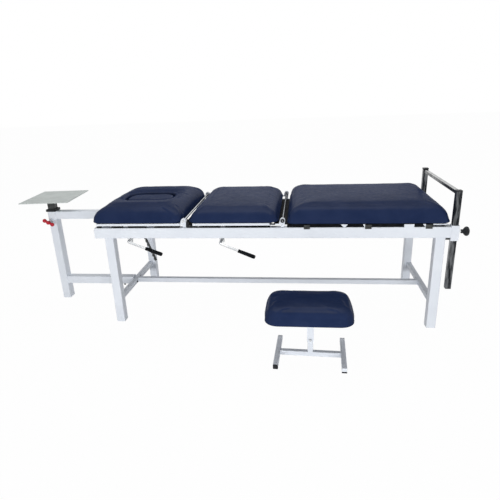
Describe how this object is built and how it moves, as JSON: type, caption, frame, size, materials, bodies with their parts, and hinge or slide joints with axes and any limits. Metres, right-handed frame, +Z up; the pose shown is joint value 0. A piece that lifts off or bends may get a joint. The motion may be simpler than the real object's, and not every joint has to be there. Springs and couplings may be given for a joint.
{
  "type": "traction table",
  "caption": "Traction couch with a steel frame, hinged head and middle cushions, a rolling leg cushion, a head-end machine stand, a pull-out foot bow and a matching leg stool.",
  "frame": {"origin": "on the floor, at the middle of the bounding box of the table, its stand and its stool", "axes": "+X along the table from its head end to its foot end, +Y towards its rear, +Z up"},
  "size_m": [2.595, 1.1478, 0.772],
  "materials": {
    "white_paint": "glossy white powder coat on steel tube",
    "navy_vinyl": "navy vinyl over foam and board, soft sheen",
    "black_plastic": "black, satin",
    "dark_chrome": "dark polished chrome on steel tube",
    "bright_chrome": "bright polished chrome on steel bar",
    "black_steel": "black satin enamel on steel",
    "red_plastic": "red, glossy",
    "plate_paint": "light grey-green enamel on steel plate"
  },
  "bodies": {
    "table_frame": {"front_rail": "white_paint", "rear_rail": "white_paint", "left_end_tube": "white_paint", "right_end_tube": "white_paint", "front_left_leg": "white_paint", "front_right_leg": "white_paint", "rear_left_leg": "white_paint", "rear_right_leg": "white_paint", "left_crossbar": "white_paint", "right_crossbar": "white_paint", "stretcher": "white_paint", "stand_post": "white_paint", "stand_upper_arm": "white_paint", "stand_lower_arm": "white_paint", "stand_collar": "black_plastic", "front_sleeve": "white_paint", "rear_sleeve": "white_paint", "head_hinge_lug_front": "white_paint", "head_hinge_lug_rear": "white_paint", "mid_hinge_lug_front": "white_paint", "mid_hinge_lug_rear": "white_paint", "head_stop_front": "black_plastic", "head_stop_rear": "black_plastic", "mid_stop_front": "black_plastic", "mid_stop_rear": "black_plastic", "head_lever_bush": "white_paint", "mid_lever_bush": "white_paint"},
    "head_section": {"head_frame": "white_paint", "head_cushion": "navy_vinyl", "head_hinge_rod": "bright_chrome"},
    "head_stay_arm": {"head_stay": "black_steel"},
    "face_insert": {"face_plug": "navy_vinyl"},
    "middle_section": {"mid_frame": "white_paint", "mid_cushion": "navy_vinyl", "mid_hinge_rod": "bright_chrome"},
    "middle_stay_arm": {"mid_stay": "black_steel"},
    "leg_section": {"leg_carriage": "black_steel", "leg_cushion": "navy_vinyl"},
    "front_wheel_1": {"front_roller_1": "black_plastic"},
    "front_wheel_2": {"front_roller_2": "black_plastic"},
    "front_wheel_3": {"front_roller_3": "black_plastic"},
    "rear_wheel_1": {"rear_roller_1": "black_plastic"},
    "rear_wheel_2": {"rear_roller_2": "black_plastic"},
    "rear_wheel_3": {"rear_roller_3": "black_plastic"},
    "head_lever": {"head_lever_rod": "bright_chrome", "head_lever_grip": "black_plastic"},
    "middle_lever": {"mid_lever_rod": "bright_chrome", "mid_lever_grip": "black_plastic"},
    "stand_head": {"stand_column": "black_steel", "machine_plate": "plate_paint"},
    "stand_clamp": {"clamp_wing": "red_plastic"},
    "foot_bow": {"bow_front_post": "dark_chrome", "bow_rear_post": "dark_chrome", "bow_crossbar": "dark_chrome"},
    "bow_clamp": {"bow_knob": "black_plastic"},
    "stool_stand": {"stool_base": "white_paint", "stool_left_foot": "white_paint", "stool_right_foot": "white_paint"},
    "stool_seat": {"stool_sleeve": "white_paint", "stool_cushion": "navy_vinyl"}
  },
  "joints": [
    {"name": "column_slide", "type": "slide", "parent": "table_frame", "child": "stand_head", "axis": [0, 0, 1], "range_m": [-0.06, 0.3]},
    {"name": "clamp_turn", "type": "hinge", "parent": "table_frame", "child": "stand_clamp", "pos_m": [-1.15781, 0.14395, 0.547], "axis": [0, -1, 0], "range_deg": [0, 180]},
    {"name": "head_tilt", "type": "hinge", "parent": "table_frame", "child": "head_section", "pos_m": [-0.20781, 0.22395, 0.627], "axis": [0, 1, 0], "range_deg": [0, 32]},
    {"name": "head_stay_swing", "type": "hinge", "parent": "head_section", "child": "head_stay_arm", "pos_m": [-0.54181, 0.04895, 0.5953], "axis": [0, 1, 0], "range_deg": [-12, 0]},
    {"name": "plug_lift", "type": "slide", "parent": "head_section", "child": "face_insert", "axis": [0, 0, 1], "range_m": [0, 0.1]},
    {"name": "mid_tilt", "type": "hinge", "parent": "table_frame", "child": "middle_section", "pos_m": [0.33519, 0.22395, 0.627], "axis": [0, 1, 0], "range_deg": [0, 60]},
    {"name": "mid_stay_swing", "type": "hinge", "parent": "middle_section", "child": "middle_stay_arm", "pos_m": [0.20219, 0.07895, 0.5703], "axis": [0, 1, 0], "range_deg": [-88, 0]},
    {"name": "leg_roll", "type": "slide", "parent": "table_frame", "child": "leg_section", "axis": [1, 0, 0], "range_m": [-0.007, 0.003]},
    {"name": "front_roller_spin_1", "type": "hinge", "parent": "leg_section", "child": "front_wheel_1", "pos_m": [0.46419, -0.10305, 0.5963], "axis": [0, 1, 0], "range_deg": [-51, 23]},
    {"name": "front_roller_spin_2", "type": "hinge", "parent": "leg_section", "child": "front_wheel_2", "pos_m": [0.78419, -0.10305, 0.5963], "axis": [0, 1, 0], "range_deg": [-51, 23]},
    {"name": "front_roller_spin_3", "type": "hinge", "parent": "leg_section", "child": "front_wheel_3", "pos_m": [1.09099, -0.10305, 0.5963], "axis": [0, 1, 0], "range_deg": [-51, 23]},
    {"name": "rear_roller_spin_1", "type": "hinge", "parent": "leg_section", "child": "rear_wheel_1", "pos_m": [0.46419, 0.55095, 0.5963], "axis": [0, 1, 0], "range_deg": [-51, 23]},
    {"name": "rear_roller_spin_2", "type": "hinge", "parent": "leg_section", "child": "rear_wheel_2", "pos_m": [0.78419, 0.55095, 0.5963], "axis": [0, 1, 0], "range_deg": [-51, 23]},
    {"name": "rear_roller_spin_3", "type": "hinge", "parent": "leg_section", "child": "rear_wheel_3", "pos_m": [1.09099, 0.55095, 0.5963], "axis": [0, 1, 0], "range_deg": [-51, 23]},
    {"name": "head_lever_lift", "type": "hinge", "parent": "table_frame", "child": "head_lever", "pos_m": [-0.53081, -0.14105, 0.514], "axis": [0, -1, 0], "range_deg": [0, 25]},
    {"name": "middle_lever_lift", "type": "hinge", "parent": "table_frame", "child": "middle_lever", "pos_m": [-0.00281, -0.17105, 0.514], "axis": [0, -1, 0], "range_deg": [0, 25]},
    {"name": "bow_slide", "type": "slide", "parent": "table_frame", "child": "foot_bow", "axis": [0, 0, 1], "range_m": [-0.15, 0.2]},
    {"name": "knob_turn", "type": "hinge", "parent": "table_frame", "child": "bow_clamp", "pos_m": [1.26349, -0.10105, 0.559], "axis": [1, 0, 0], "range_deg": [0, 180]},
    {"name": "stool_slide", "type": "slide", "parent": "table_frame", "child": "stool_stand", "axis": [1, 0, 0], "range_m": [-0.3, 0.3]},
    {"name": "stool_seat_height", "type": "slide", "parent": "stool_stand", "child": "stool_seat", "axis": [0, 0, 1], "range_m": [0, 0.08]}
  ],
  "couplings": [
    {"joint": "head_stay_swing", "follows": "head_tilt", "ratio": -0.36},
    {"joint": "mid_stay_swing", "follows": "mid_tilt", "ratio": -1.45},
    {"joint": "front_roller_spin_1", "follows": "leg_roll", "rad_per_m": 125},
    {"joint": "front_roller_spin_2", "follows": "leg_roll", "rad_per_m": 125},
    {"joint": "front_roller_spin_3", "follows": "leg_roll", "rad_per_m": 125},
    {"joint": "rear_roller_spin_1", "follows": "leg_roll", "rad_per_m": 125},
    {"joint": "rear_roller_spin_2", "follows": "leg_roll", "rad_per_m": 125},
    {"joint": "rear_roller_spin_3", "follows": "leg_roll", "rad_per_m": 125}
  ]
}
